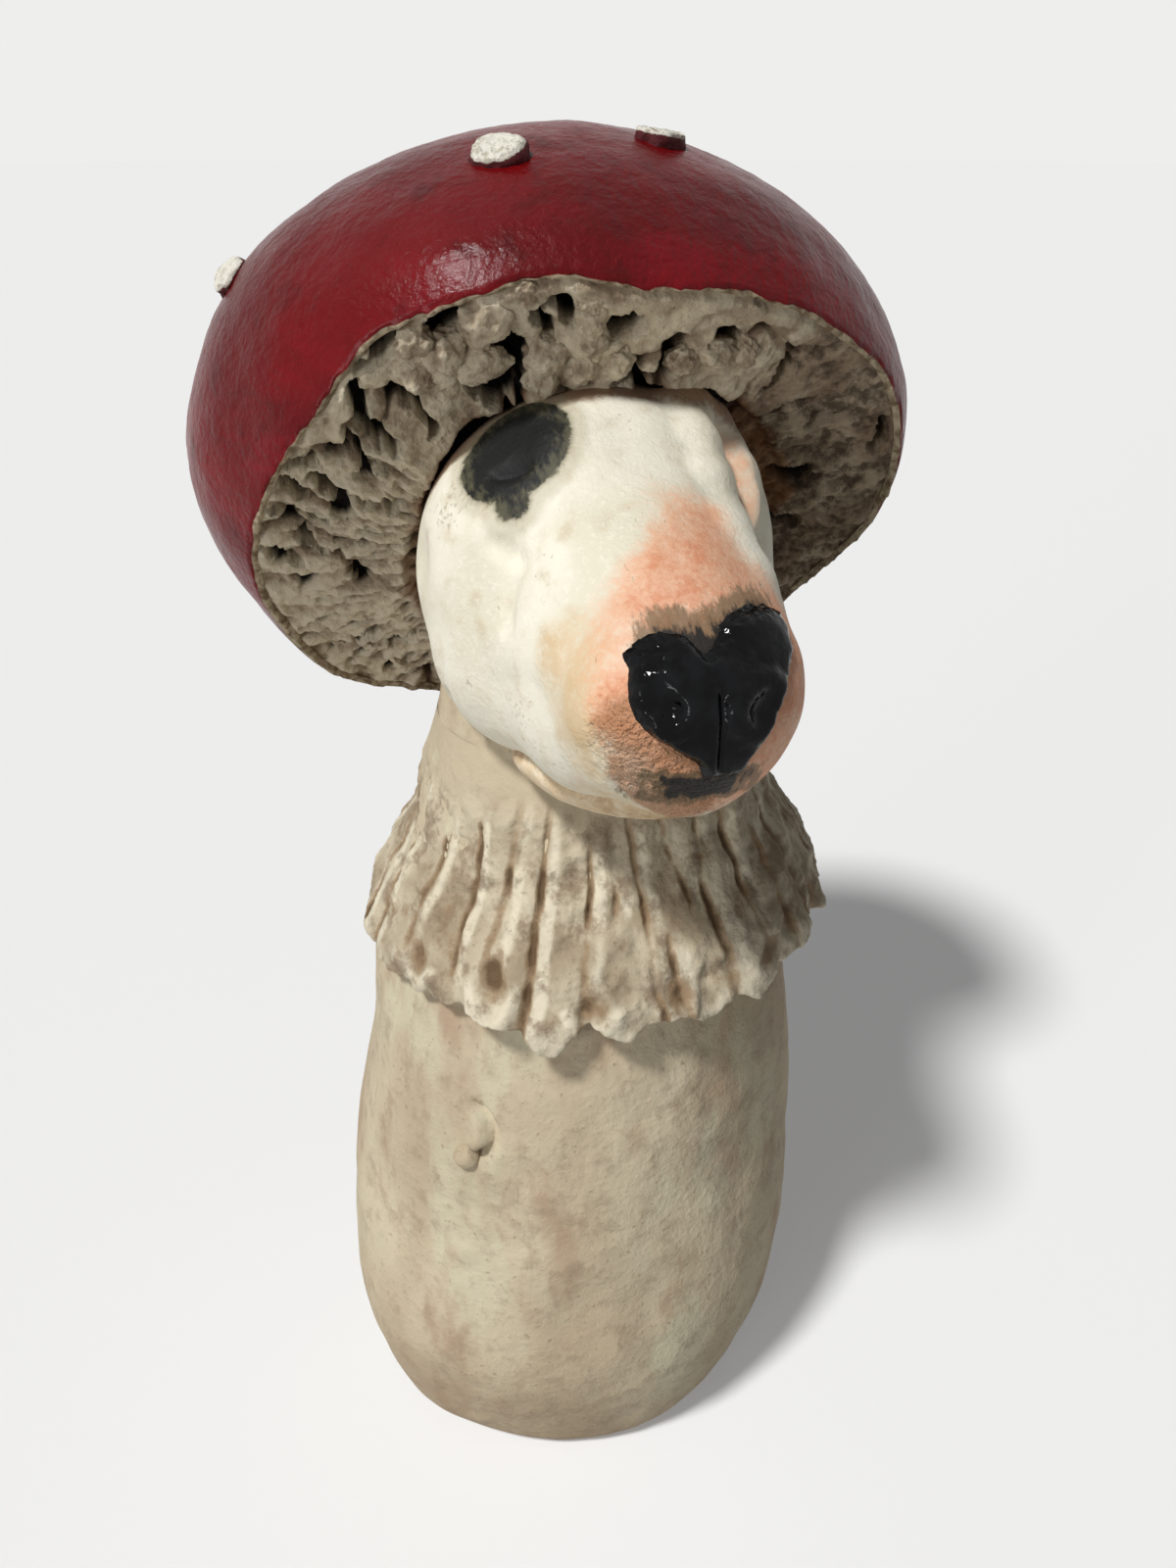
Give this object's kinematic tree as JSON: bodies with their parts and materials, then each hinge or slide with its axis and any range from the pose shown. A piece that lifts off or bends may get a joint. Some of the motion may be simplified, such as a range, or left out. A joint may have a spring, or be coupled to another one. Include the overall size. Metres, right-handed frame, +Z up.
{
  "type": "ceramic toadstool ornament with dog's head",
  "caption": "Free-standing hand-built ceramic toadstool: hollow leaning stem, pleated skirt, tilted red cap with torn gills and a dog's head looking out beneath it.",
  "frame": {"origin": "middle of the foot, on the surface it stands on", "axes": "+Z up along the stem, -Y the way the dog looks, +X to the dog's left"},
  "size_m": [0.1023, 0.1217, 0.2016],
  "materials": {
    "stem_clay": "matte fired clay with a thin brown and pale wash",
    "skirt_clay": "matte fired clay with brown wash left in the pleats",
    "head_slip": "matte cream slip with an orange blush",
    "nose_glaze": "gloss black glaze",
    "cap_glaze": "satin ox-blood red glaze",
    "gill_clay": "torn unglazed clay",
    "wart_clay": "matte chalky white clay"
  },
  "bodies": {
    "root": {"stem_wall": "stem_clay", "foot_disc": "stem_clay", "stem_pip": "stem_clay", "ring_skirt": "skirt_clay", "dog_head": "head_slip", "lower_jaw": "head_slip", "nose_pad": "nose_glaze", "cap_dome": "cap_glaze", "gill_bed": "gill_clay", "gill_crumbs": "gill_clay", "wart_1": "wart_clay", "wart_2": "wart_clay", "wart_3": "wart_clay", "wart_4": "wart_clay", "wart_5": "wart_clay", "wart_6": "wart_clay", "wart_7": "wart_clay", "wart_8": "wart_clay", "wart_9": "wart_clay"}
  },
  "joints": []
}
